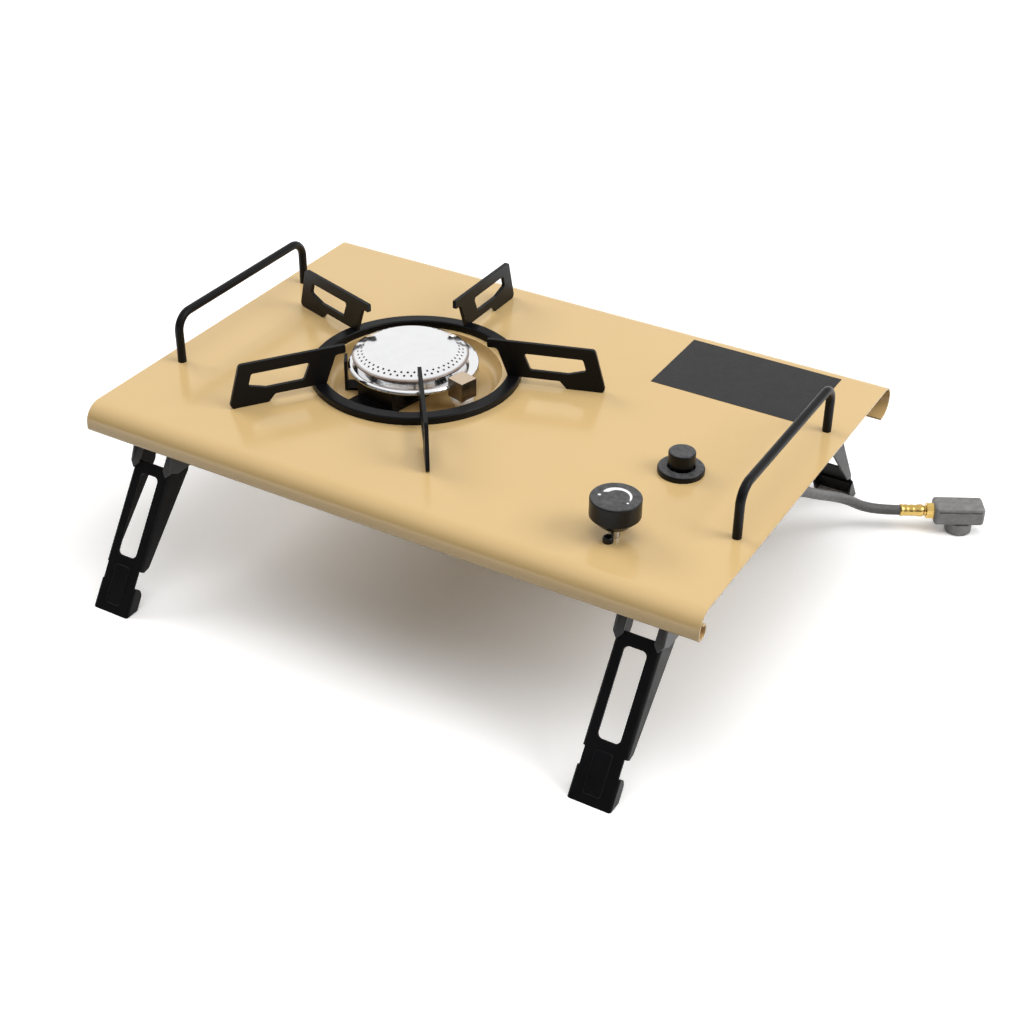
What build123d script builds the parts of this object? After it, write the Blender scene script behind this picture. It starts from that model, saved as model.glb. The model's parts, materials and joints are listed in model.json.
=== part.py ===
from build123d import *
import math
import os

# Portable one-burner gas stove: a bent sheet plate on four folding legs, with a loose pan support,
# two rod handles, a gas valve with its knob, a piezo igniter and a hose with a canister regulator.
# Millimetres. +X to the right, +Y to the back, +Z up. The origin is on the ground under the plate's middle.

# Top plate
PLATE_LENGTH = 450.0
PLATE_DEPTH = 310.0
PLATE_TOP = 125.0
SHEET = 1.2
ROLL_RADIUS = 13.0
ROLL_HEIGHT = 18.5
LIP_RADIUS = 3.0
LIP_LENGTH = 10.0
CURL_HEIGHT = 10.0
CURL_RADIUS = 4.0
CURL_TIP = 4.5
BACK_ROLL_HEIGHT = 23.0
BACK_ROLL_RADIUS = 11.3
BACK_LIP_LENGTH = 14.0
DISH_RADIUS = 61.0
DISH_DEPTH = 12.0
DISH_WALL_RADIUS = 8.0
DISH_OPENING_RADIUS = 13.0

# Label panel
LABEL_LENGTH = 111.6
LABEL_DEPTH = 70.0
LABEL_FROM_END = 87.2
LABEL_FROM_BACK = 49.0
LABEL_CENTRE = (PLATE_LENGTH / 2 - LABEL_FROM_END, PLATE_DEPTH / 2 - LABEL_FROM_BACK)
LABEL_THICK = 0.2

# Rod handles
ROD_DIAMETER = 6.0
HANDLE_FROM_END = 15.0
HANDLE_X = PLATE_LENGTH / 2 - HANDLE_FROM_END
HANDLE_SPAN = 143.6
HANDLE_HEIGHT = 34.5
HANDLE_BEND = 12.0
HANDLE_SCREW_DIAMETER = 4.0
HANDLE_SCREW_DEPTH = 10.0
SCREW_HEAD_RATIO = 1.9
SCREW_HEAD_HEIGHT = 2.4
HOLE_CLEARANCE = 0.2

# Burner's place, left of the plate's middle
BURNER_SHARE = 0.1444
BURNER_CENTRE = (-BURNER_SHARE * PLATE_LENGTH, 0.0)

# Pan support
TRIVET_OFF_X = 1.6
TRIVET_OFF_Y = 0.3
TRIVET_CENTRE = (BURNER_CENTRE[0] + TRIVET_OFF_X, BURNER_CENTRE[1] + TRIVET_OFF_Y)
RING_WIDTH = 9.0
RING_HEIGHT = 5.4
RING_CHAMFER = 0.8
ARM_COUNT = 5
ARM_FIRST_ANGLE = 90.0
ARM_THICK = 2.6
ARM_HEIGHT = 31.5
ARM_NOSE_RADIUS = 50.5
ARM_NOSE_DROP = 6.0
ARM_NOSE_LENGTH = 7.0
ARM_FOOT_START = 106.0
ARM_FOOT_END = 133.0
ARM_TOP_END = 124.5
ARM_STEP = 5.0
ARM_CORNER = 3.0
ARM_NOSE_CORNER = 0.8
ARM_THROAT_CORNER = 2.5
ARM_SMALL_CORNER = 1.0
WINDOW_TOP_DROP = 8.0
WINDOW_HEIGHT = 12.3
WINDOW_START = 75.5
WINDOW_END = 116.5
WINDOW_SLANT = 5.0
WINDOW_CORNER = 1.8

# Burner
PAN_RADIUS = 45.2
PAN_FLOOR_HEIGHT = 7.8
PAN_EDGE_HEIGHT = 6.0
PAN_SHEET = 1.0
PAN_CORNER = 2.4
CAP_OFF_ANGLE = 210.0
CAP_OFF = 2.0
CAP_CROWN_HEIGHT = 20.8
CAP_SHOULDER_RADIUS = 32.0
CAP_SHOULDER_HEIGHT = 18.0
CAP_LIP_RADIUS = 40.2
CAP_LIP_HEIGHT = 13.8
CAP_LIP_EDGE = 0.8
CAP_SEAT_RADIUS = 34.4
CAP_SHEET = 1.2
PORT_COUNT = 96
PORT_DIAMETER = 1.6
PORT_RADIUS_AT = 34.8
PORT_ROW_SPREAD = 2.8
NECK_RADIUS = 10.0
NECK_WALL = 1.2
MIXER_RADIUS = 8.0
MIXER_LENGTH = 64.0
MIXER_DROP = 24.0
AIR_HOLE_RADIUS = 4.0

# Burner bracket, pressed from sheet
BRACKET_SHEET = 2.0
BRACKET_WIDTH = 34.0
BRACKET_ANGLE = 258.0
BRACKET_END = 47.0
BRACKET_WALL_AT = 36.5
BRACKET_TAB = 9.0
POST_ANGLE = 212.0
POST_RADIUS_AT = 46.6
POST_WIDTH = 12.0
POST_TOP = 10.6
BRACKET_SCREW_SPREAD = 15.0
BRACKET_SCREW_RADIUS_AT = 43.5
BRACKET_SCREW_DIAMETER = 4.0

# Spark electrode and its cover
ELECTRODE_ANGLE = -15.3
COVER_SIZE = 13.4
COVER_TO_CAP = 2.0
ELECTRODE_RADIUS_AT = CAP_LIP_RADIUS + COVER_TO_CAP + COVER_SIZE / 2
COVER_TO_RING = 8.6
RING_OUTER_RADIUS = ELECTRODE_RADIUS_AT + COVER_SIZE / 2 + COVER_TO_RING + RING_WIDTH
COVER_TOP = 14.0
COVER_HEIGHT = 13.6
COVER_SHEET = 0.8
INSULATOR_DIAMETER = 10.0
INSULATOR_FLANGE_DIAMETER = 15.6
INSULATOR_FLANGE_HEIGHT = 3.0
INSULATOR_TIP_DIAMETER = 5.0
INSULATOR_TIP_HEIGHT = 4.0
INSULATOR_LENGTH = 18.9
SPARK_PIN_DIAMETER = 1.6
SPARK_PIN_LENGTH = 5.5

# Gas valve and knob
KNOB_FROM_END = 79.0
KNOB_FROM_FRONT = 48.0
KNOB_CENTRE = (PLATE_LENGTH / 2 - KNOB_FROM_END, KNOB_FROM_FRONT - PLATE_DEPTH / 2)
KNOB_DIAMETER = 31.6
KNOB_TOP = 27.5
KNOB_SHOULDER = 15.0
KNOB_BOTTOM = 8.5
KNOB_FOOT_DIAMETER = 19.0
KNOB_EDGE = 1.2
KNOB_BORE_DEPTH = 12.0
SPINDLE_DIAMETER = 7.0
RUNNING_CLEARANCE = 0.06
VALVE_SIZE = 24.0
VALVE_HEIGHT = 32.0
VALVE_SPINDLE_DEPTH = 12.0
VALVE_SCREW_DIAMETER = 3.0
VALVE_SCREW_OFFSET = 8.0
VALVE_SCREW_DEPTH = 6.0
VALVE_SCREW_HEAD_DIAMETER = 6.8
VALVE_SCREW_HEAD_HEIGHT = 4.0
RECESS_LENGTH = 4.0
RECESS_WIDTH = 1.0
RECESS_DEPTH = 1.6
INLET_DROP = 14.0
INLET_SHIFT = 7.0
INLET_NUT_SIZE = 12.0
INLET_NUT_LENGTH = 6.0
FERRULE_DIAMETER = 9.0
INLET_FERRULE_LENGTH = 15.0

# Gas pipe between the valve and the injector
PIPE_DIAMETER = 6.0
PIPE_BEND = 20.0
PIPE_TURN_REACH = 60.0
PIPE_TURN_X = KNOB_CENTRE[0] - PIPE_TURN_REACH
INJECTOR_LENGTH = 14.0
INJECTOR_DIAMETER = 9.0
INJECTOR_WEB = 2.0

# Piezo igniter
IGNITER_OFF_X = 3.5
IGNITER_OFF_Y = 84.8
IGNITER_CENTRE = (KNOB_CENTRE[0] + IGNITER_OFF_X, KNOB_CENTRE[1] + IGNITER_OFF_Y)
BEZEL_DIAMETER = 30.2
BEZEL_HEIGHT = 4.0
BEZEL_EDGE = 1.6
BUTTON_DIAMETER = 17.5
BUTTON_HEIGHT = 11.2
BUTTON_TRAVEL = 6.0
BUTTON_EDGE = 1.2
BUTTON_CLEARANCE = 0.3
PIEZO_DIAMETER = 18.0
PIEZO_DEPTH = 32.0
PIEZO_WALL = 2.0
PLUNGER_DIAMETER = 7.0
PIEZO_NUT_DIAMETER = 26.0
PIEZO_NUT_HEIGHT = 4.0

# Ignition wire
WIRE_DIAMETER = 2.4
WIRE_MIDDLE = [
    (0.027, 92.5),
    (0.089, 90.0),
    (0.202, 90.5),
    (0.369, 91.5),
    (0.548, 90.0),
    (0.702, 84.5),
    (0.8155, 77.5),
    (0.905, 75.0),
    (0.967, 78.5),
]
WIRE_DROP = 7.0

# Folding legs
LEG_FROM_END = 42.0
HINGE_FROM_EDGE = 27.0
LEG_X = PLATE_LENGTH / 2 - LEG_FROM_END
HINGE_Y = PLATE_DEPTH / 2 - HINGE_FROM_EDGE
HINGE_Z = 91.0
SPLAY = 34.0
LEG_WIDTH = 30.0
LEG_SHEET = 1.5
WEB_OFFSET = 9.2
WEB_START = 11.0
NECK_START = 83.0
FOOT_START = 95.0
FOOT_END = 120.0
FOOT_WIDTH = 29.2
FOOT_THICK = 3.0
FOOT_TAB_DEPTH = 9.0
FOOT_TAB_LENGTH = 20.0
LEG_BEND_RADIUS = 2.4
NECK_WIDTH = 26.0
SLOT_WIDTH = 15.2
SLOT_START = 19.0
SLOT_END = 76.0
SLOT_CORNER = 3.5
FLANGE_TOP_DEPTH = 19.4
FLANGE_LOW_DEPTH = 7.7
EYE_RADIUS = 9.0
PANEL_WIDTH = 12.0
PANEL_START = 82.5
PANEL_END = 110.0
PANEL_RISE = 0.7
PIN_DIAMETER = 5.0
PIN_CLEARANCE = 0.05
PIN_HEAD_DIAMETER = 8.0
PIN_HEAD_LENGTH = 1.6

# Leg brackets
EAR_GAP = 0.3
EAR_SHEET = 1.5
EAR_BACK = 16.0
EAR_FRONT = 10.0
EAR_LOW = 9.0
FOOTPLATE_OVERHANG = 3.5
STOP_GAP = 0.25
STOP_WIDTH = 6.5
STOP_TOP = -2.0
STOP_END = 13.0
STOP_POINT = 4.0

# Hose and canister regulator
HOSE_DIAMETER = 7.4
HOSE_FROM_END = [
    (-72.0, -74.0, 111.0),
    (-72.0, -55.0, 111.0),
    (-64.5, -34.0, 111.0),
    (-52.0, -14.5, 110.5),
    (-37.0, 3.0, 108.0),
    (-25.0, 26.0, 100.0),
    (-20.5, 57.0, 84.0),
    (-20.5, 88.0, 64.0),
    (-21.0, 116.0, 44.0),
    (-17.0, 143.5, 24.5),
    (-4.4, 160.2, 16.0),
    (14.8, 170.8, 16.0),
]
HOSE_ROUTE = [(PLATE_LENGTH / 2 + x, y, z) for x, y, z in HOSE_FROM_END]
CORD_ARC_SHARE = 0.45
FERRULE_LENGTH = 18.8
HOSE_NUT_SIZE = 11.0
HOSE_NUT_LENGTH = 5.2
REGULATOR_LENGTH = 36.0
REGULATOR_WIDTH = 18.0
REGULATOR_HEIGHT = 14.5
REGULATOR_EDGE = 2.6
GROOVE_HEIGHT = 1.3
GROOVE_DEPTH = 0.8
GROOVE_DROP = 3.4
GROOVE_END = 3.0
COLLAR_DIAMETER = 19.0
COLLAR_ALONG = 20.0
COLLAR_FLOOR_GAP = 0.1
SOCKET_RADIUS = 5.5
SEAL_RADIUS = 6.3
SEAL_BORE_RADIUS = 3.0
SEAL_THICK = 1.5

UNDERSIDE = PLATE_TOP - SHEET
HALF_LENGTH = PLATE_LENGTH / 2
HALF_DEPTH = PLATE_DEPTH / 2
TALL = 4 * PLATE_TOP
STANDING = (Align.CENTER, Align.CENTER, Align.MIN)
HANGING = (Align.CENTER, Align.MIN, Align.MAX)
nodes = {}


def keep(name, shape):
    """Stores one named piece."""
    nodes[name] = shape


def cylinder(diameter, height, x=0.0, y=0.0, z=0.0):
    """A cylinder that stands on z."""
    return Pos(x, y, z + height / 2) * Cylinder(diameter / 2, height)


def hexagon(size, height, x=0.0, y=0.0, z=0.0):
    """A hexagonal bar, size across its flats, that stands on z."""
    profile = RegularPolygon(size / 2, 6, major_radius=False)
    return Pos(x, y, z) * extrude(profile, height)


def side_profile(points, width):
    """A solid from an outline in (y, z), centred on x = 0."""
    outline = Plane.YZ * make_face(Polyline(*points, close=True))
    return extrude(outline, width / 2, both=True)


def turned(*lines):
    """A solid of revolution about Z from the lines of its outline in (radius, z)."""
    outline = Plane.XZ * make_face(lines)
    return revolve(outline, Axis.Z)


def dome(crown, edge):
    """A round arc over the axis, from the crown's height out to an edge in (radius, z)."""
    radius, height = edge
    rise = crown - height
    ball = (radius ** 2 + rise ** 2) / (2 * rise)
    middle = (radius / 2, crown - ball + math.sqrt(ball ** 2 - radius ** 2 / 4))
    return ThreePointArc((0, crown), middle, edge)


def burner_place(angle, radius, z):
    """A place round the burner, turned to face outward."""
    return Pos(BURNER_CENTRE[0], BURNER_CENTRE[1], z) * Rot(0, 0, angle) * Pos(radius, 0, 0)


def plate_skin(inset):
    """One skin of the bent plate in (y, z), inset from the outer one."""
    side = HALF_DEPTH - inset
    low = PLATE_TOP - ROLL_HEIGHT + inset
    high = PLATE_TOP - inset
    lip = HALF_DEPTH - LIP_LENGTH + inset
    tip = HALF_DEPTH - CURL_TIP
    curl = PLATE_TOP - ROLL_HEIGHT + CURL_HEIGHT - inset
    back_low = PLATE_TOP - BACK_ROLL_HEIGHT + inset
    front = [(-tip, curl), (-lip, curl), (-lip, low), (-side, low), (-side, high)]
    back = [(side, high), (side, back_low), (HALF_DEPTH - BACK_LIP_LENGTH, back_low)]
    bends = [CURL_RADIUS, CURL_RADIUS, LIP_RADIUS, ROLL_RADIUS, BACK_ROLL_RADIUS, BACK_ROLL_RADIUS]
    return FilletPolyline(*front, *back, radius=[bend - inset for bend in bends])


def make_plate():
    """The plate with its rolled and hemmed front and back edges, its burner dish and its holes."""
    outer = plate_skin(0)
    inner = plate_skin(SHEET)
    ends = [Line(outer @ 0, inner @ 0), Line(outer @ 1, inner @ 1)]
    profile = Plane.YZ * make_face(outer.edges() + inner.edges() + ends)
    plate = extrude(profile, HALF_LENGTH, both=True)
    floor = PLATE_TOP - DISH_DEPTH
    middle = Pos(BURNER_CENTRE[0], BURNER_CENTRE[1], 0)
    bowl = cylinder(2 * (DISH_RADIUS + SHEET), DISH_DEPTH + SHEET, z=floor - SHEET)
    bowl = fillet(bowl.edges().group_by(Axis.Z)[0], DISH_WALL_RADIUS + SHEET)
    hollow = cylinder(2 * DISH_RADIUS, DISH_DEPTH, z=floor)
    hollow = fillet(hollow.edges().group_by(Axis.Z)[0], DISH_WALL_RADIUS)
    plate = plate + middle * bowl - middle * hollow
    plate -= middle * cylinder(2 * DISH_OPENING_RADIUS, TALL)
    plate -= burner_place(ELECTRODE_ANGLE, ELECTRODE_RADIUS_AT, 0) * cylinder(INSULATOR_DIAMETER, TALL)
    for side in (-BRACKET_SCREW_SPREAD, BRACKET_SCREW_SPREAD):
        place = burner_place(BRACKET_ANGLE + 180 + side, BRACKET_SCREW_RADIUS_AT, 0)
        plate -= place * cylinder(BRACKET_SCREW_DIAMETER, TALL)
    for x in (-HANDLE_X, HANDLE_X):
        for y in (-HANDLE_SPAN / 2, HANDLE_SPAN / 2):
            plate -= cylinder(HANDLE_SCREW_DIAMETER + HOLE_CLEARANCE, TALL, x, y)
    plate -= cylinder(SPINDLE_DIAMETER + 2 * HOLE_CLEARANCE, TALL, *KNOB_CENTRE)
    for side in (-VALVE_SCREW_OFFSET, VALVE_SCREW_OFFSET):
        hole = VALVE_SCREW_DIAMETER + HOLE_CLEARANCE
        plate -= cylinder(hole, TALL, KNOB_CENTRE[0], KNOB_CENTRE[1] + side)
    plate -= cylinder(PIEZO_DIAMETER + HOLE_CLEARANCE, TALL, *IGNITER_CENTRE)
    keep("top_plate", plate)


def make_label():
    """The blank dark panel at the back right corner."""
    panel = Box(LABEL_LENGTH, LABEL_DEPTH, LABEL_THICK)
    keep("label_panel", Pos(*LABEL_CENTRE, PLATE_TOP + LABEL_THICK / 2) * panel)


def screw(diameter, length, head_diameter, head_height):
    """A round-headed screw: its head lies above z = 0 and its shank hangs below."""
    head = cylinder(head_diameter, head_height)
    head = fillet(head.edges().group_by(Axis.Z)[-1], 0.4 * head_height)
    return head + cylinder(diameter, length, z=-length)


def plain_screw(diameter, length):
    """A screw with the common flat head."""
    return screw(diameter, length, SCREW_HEAD_RATIO * diameter, SCREW_HEAD_HEIGHT)


def make_handles():
    """Two bent rods, screwed to the plate from below."""
    half = HANDLE_SPAN / 2
    screws = []
    for name, x in (("left_handle_bar", -HANDLE_X), ("right_handle_bar", HANDLE_X)):
        high = PLATE_TOP + HANDLE_HEIGHT
        corners = [(x, -half, PLATE_TOP), (x, -half, high), (x, half, high), (x, half, PLATE_TOP)]
        path = FilletPolyline(*corners, radius=HANDLE_BEND)
        section = Plane(origin=corners[0], z_dir=(0, 0, 1)) * Circle(ROD_DIAMETER / 2)
        bar = sweep(section, path=path)
        for y in (-half, half):
            bar -= cylinder(HANDLE_SCREW_DIAMETER, HANDLE_SCREW_DEPTH, x, y, PLATE_TOP)
            shank = HANDLE_SCREW_DEPTH + SHEET
            screws.append(Pos(x, y, UNDERSIDE) * Rot(180, 0, 0) * plain_screw(HANDLE_SCREW_DIAMETER, shank))
        keep(name, bar)
    keep("handle_screws", Compound(children=screws))


def make_trivet():
    """The loose pan support: a ring on the plate and upright arms that stand on it."""
    base = Pos(*TRIVET_CENTRE, PLATE_TOP)
    ring = cylinder(2 * RING_OUTER_RADIUS, RING_HEIGHT)
    ring -= cylinder(2 * (RING_OUTER_RADIUS - RING_WIDTH), RING_HEIGHT)
    ring = chamfer(ring.edges().group_by(Axis.Z)[-1], RING_CHAMFER)
    keep("trivet_ring", base * ring)
    nose_low = ARM_HEIGHT - ARM_NOSE_DROP
    ring_inside = RING_OUTER_RADIUS - RING_WIDTH
    outline = [
        (ARM_NOSE_RADIUS, ARM_HEIGHT),
        (ARM_NOSE_RADIUS, nose_low),
        (ARM_NOSE_RADIUS + ARM_NOSE_LENGTH, nose_low),
        (ring_inside + RING_CHAMFER, RING_HEIGHT),
        (ARM_FOOT_START - ARM_STEP, RING_HEIGHT),
        (ARM_FOOT_START, 0),
        (ARM_FOOT_END, 0),
        (ARM_TOP_END, ARM_HEIGHT),
    ]
    corners = [
        ARM_NOSE_CORNER,
        ARM_SMALL_CORNER,
        ARM_THROAT_CORNER,
        0.0,
        ARM_SMALL_CORNER,
        ARM_SMALL_CORNER,
        ARM_CORNER,
        ARM_CORNER,
    ]
    profile = make_face(FilletPolyline(*outline, radius=corners, close=True))
    window_top = ARM_HEIGHT - WINDOW_TOP_DROP
    window = [
        (WINDOW_START, window_top),
        (WINDOW_START + WINDOW_SLANT, window_top - WINDOW_HEIGHT),
        (WINDOW_END - 2 * WINDOW_SLANT, window_top - WINDOW_HEIGHT),
        (WINDOW_END + WINDOW_SLANT / 2, window_top - 0.7 * WINDOW_HEIGHT),
        (WINDOW_END, window_top),
    ]
    profile -= make_face(FilletPolyline(*window, radius=WINDOW_CORNER, close=True))
    arm = extrude(Plane.XZ * profile, ARM_THICK / 2, both=True)
    for number in range(ARM_COUNT):
        angle = ARM_FIRST_ANGLE + number * 360 / ARM_COUNT
        keep(f"trivet_arm_{number + 1}", base * Rot(0, 0, angle) * arm)


def make_burner():
    """The polished pan, the cap with its ports, and the mixing tube below them."""
    middle = Pos(*BURNER_CENTRE, PLATE_TOP)
    seat = PAN_FLOOR_HEIGHT + PAN_SHEET
    wall = PAN_RADIUS - PAN_SHEET
    pan_outline = [
        (NECK_RADIUS, PAN_FLOOR_HEIGHT),
        (wall, PAN_FLOOR_HEIGHT),
        (wall, PAN_EDGE_HEIGHT),
        (PAN_RADIUS, PAN_EDGE_HEIGHT),
        (PAN_RADIUS, seat),
        (NECK_RADIUS, seat),
    ]
    edge = 0.3 * PAN_SHEET
    pan_corners = [0.0, PAN_CORNER - PAN_SHEET, edge, edge, PAN_CORNER, 0.0]
    pan = turned(FilletPolyline(*pan_outline, radius=pan_corners, close=True))
    notch = Box(TALL, COVER_SIZE + 2 * HOLE_CLEARANCE, TALL, align=(Align.MIN, Align.CENTER, Align.CENTER))
    notch_start = ELECTRODE_RADIUS_AT - COVER_SIZE / 2 - HOLE_CLEARANCE
    pan -= Rot(0, 0, ELECTRODE_ANGLE) * Pos(notch_start, 0, 0) * notch
    keep("burner_pan", middle * pan)
    slope_rise = CAP_SHOULDER_HEIGHT - CAP_LIP_HEIGHT
    slope = math.atan2(slope_rise, CAP_LIP_RADIUS - CAP_SHOULDER_RADIUS)
    depth = CAP_SHEET / math.cos(slope)
    lip_low = CAP_LIP_HEIGHT - CAP_LIP_EDGE
    taper = (lip_low - seat) / (CAP_LIP_RADIUS - CAP_SEAT_RADIUS)
    taper_depth = CAP_SHEET * math.sqrt(1 + taper ** 2)
    slope_drop = CAP_SHOULDER_HEIGHT - depth + CAP_SHOULDER_RADIUS * math.tan(slope)
    taper_rise = seat + taper_depth - CAP_SEAT_RADIUS * taper
    inside_radius = (slope_drop - taper_rise) / (taper + math.tan(slope))
    inside_height = taper_rise + taper * inside_radius
    seat_inside = CAP_SEAT_RADIUS - taper_depth / taper
    shoulder = (CAP_SHOULDER_RADIUS, CAP_SHOULDER_HEIGHT)
    shoulder_inside = (CAP_SHOULDER_RADIUS, CAP_SHOULDER_HEIGHT - depth)
    crown_inside = CAP_CROWN_HEIGHT - CAP_SHEET
    cap = turned(
        dome(CAP_CROWN_HEIGHT, shoulder),
        Polyline(
            shoulder,
            (CAP_LIP_RADIUS, CAP_LIP_HEIGHT),
            (CAP_LIP_RADIUS, lip_low),
            (CAP_SEAT_RADIUS, seat),
            (seat_inside, seat),
            (inside_radius, inside_height),
            shoulder_inside,
        ),
        dome(crown_inside, shoulder_inside),
        Line((0, crown_inside), (0, CAP_CROWN_HEIGHT)),
    )
    port_height = CAP_SHOULDER_HEIGHT - (PORT_RADIUS_AT - CAP_SHOULDER_RADIUS) * math.tan(slope)
    drill = Cylinder(PORT_DIAMETER / 2, 3 * CAP_SHEET)
    ports = []
    for number in range(PORT_COUNT):
        angle = number * 360 / PORT_COUNT
        side = PORT_ROW_SPREAD / 2 if number % 2 else -PORT_ROW_SPREAD / 2
        place = Rot(0, 0, angle) * Pos(PORT_RADIUS_AT, 0, port_height) * Rot(0, math.degrees(slope), 0)
        ports.append(place * Pos(side, 0, 0) * drill)
    cap -= ports
    keep("burner_cap", burner_place(CAP_OFF_ANGLE, CAP_OFF, PLATE_TOP) * cap)
    drop = MIXER_DROP + MIXER_RADIUS
    neck = cylinder(2 * NECK_RADIUS, drop + PAN_FLOOR_HEIGHT + PAN_SHEET, z=-drop)
    along = Pos(0, 0, -MIXER_DROP) * Rot(0, 90, 0)
    barrel = along * cylinder(2 * MIXER_RADIUS, MIXER_LENGTH)
    bore = cylinder(2 * (NECK_RADIUS - NECK_WALL), drop + NECK_RADIUS, z=-drop + NECK_WALL)
    channel = along * cylinder(2 * (MIXER_RADIUS - NECK_WALL), MIXER_LENGTH)
    air_hole = Pos(MIXER_LENGTH - 3 * AIR_HOLE_RADIUS, 0, -MIXER_DROP) * Rot(90, 0, 0)
    tube = neck + barrel - bore - channel - air_hole * Cylinder(AIR_HOLE_RADIUS, 4 * MIXER_RADIUS)
    keep("mixing_tube", middle * tube)


def make_burner_bracket():
    """The pressed strap in the dish: two walls carry the burner's pan, and a post guards its left side."""
    floor = PLATE_TOP - DISH_DEPTH
    ledge = PLATE_TOP + PAN_FLOOR_HEIGHT
    strap = Box(2 * BRACKET_END, BRACKET_WIDTH, BRACKET_SHEET, align=STANDING)
    for turn in (0, 180):
        side = Rot(0, 0, turn)
        wall = Box(BRACKET_SHEET, BRACKET_WIDTH, ledge - floor, align=STANDING)
        strap += side * Pos(BRACKET_WALL_AT, 0, 0) * wall
        tab = Box(BRACKET_TAB, BRACKET_WIDTH, BRACKET_SHEET, align=(Align.MAX, Align.CENTER, Align.MAX))
        strap += side * Pos(BRACKET_WALL_AT, 0, ledge - floor) * tab
    arm = Box(POST_RADIUS_AT, POST_WIDTH, BRACKET_SHEET, align=(Align.MIN, Align.CENTER, Align.MIN))
    post_height = PLATE_TOP + POST_TOP - floor
    post = Box(BRACKET_SHEET, POST_WIDTH, post_height, align=STANDING)
    post_turn = Rot(0, 0, POST_ANGLE - BRACKET_ANGLE)
    strap += post_turn * (arm + Pos(POST_RADIUS_AT, 0, 0) * post)
    strap -= cylinder(2 * (NECK_RADIUS + HOLE_CLEARANCE), TALL)
    screws = []
    for side in (-BRACKET_SCREW_SPREAD, BRACKET_SCREW_SPREAD):
        turn = Rot(0, 0, 180 + side)
        strap -= turn * Pos(BRACKET_SCREW_RADIUS_AT, 0, 0) * cylinder(BRACKET_SCREW_DIAMETER, TALL)
        place = burner_place(BRACKET_ANGLE + 180 + side, BRACKET_SCREW_RADIUS_AT, floor + BRACKET_SHEET)
        screws.append(place * plain_screw(BRACKET_SCREW_DIAMETER, BRACKET_SHEET + 4 * SHEET))
    keep("burner_bracket", burner_place(BRACKET_ANGLE, 0, floor) * strap)
    keep("burner_screws", Compound(children=screws))


def make_electrode():
    """The ceramic spark electrode with its pin, under a folded steel cover."""
    rest = PLATE_TOP + COVER_TOP - COVER_HEIGHT
    low = rest - INSULATOR_LENGTH
    tip = rest + INSULATOR_TIP_HEIGHT
    place = burner_place(ELECTRODE_ANGLE, ELECTRODE_RADIUS_AT, 0)
    insulator = cylinder(INSULATOR_DIAMETER, INSULATOR_LENGTH, z=low)
    flange_low = rest - INSULATOR_FLANGE_HEIGHT
    insulator += cylinder(INSULATOR_FLANGE_DIAMETER, INSULATOR_FLANGE_HEIGHT, z=flange_low)
    insulator += cylinder(INSULATOR_TIP_DIAMETER, INSULATOR_TIP_HEIGHT, z=rest)
    keep("electrode_insulator", place * insulator)
    keep("spark_pin", place * cylinder(SPARK_PIN_DIAMETER, SPARK_PIN_LENGTH, z=tip))
    outside = Box(COVER_SIZE, COVER_SIZE, COVER_HEIGHT, align=STANDING)
    inside_size = COVER_SIZE - 2 * COVER_SHEET
    inside = Box(COVER_SIZE, inside_size, COVER_HEIGHT - COVER_SHEET, align=STANDING)
    cover = outside - Pos(-COVER_SHEET, 0, 0) * inside
    keep("electrode_cover", place * Pos(0, 0, rest) * cover)


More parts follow.
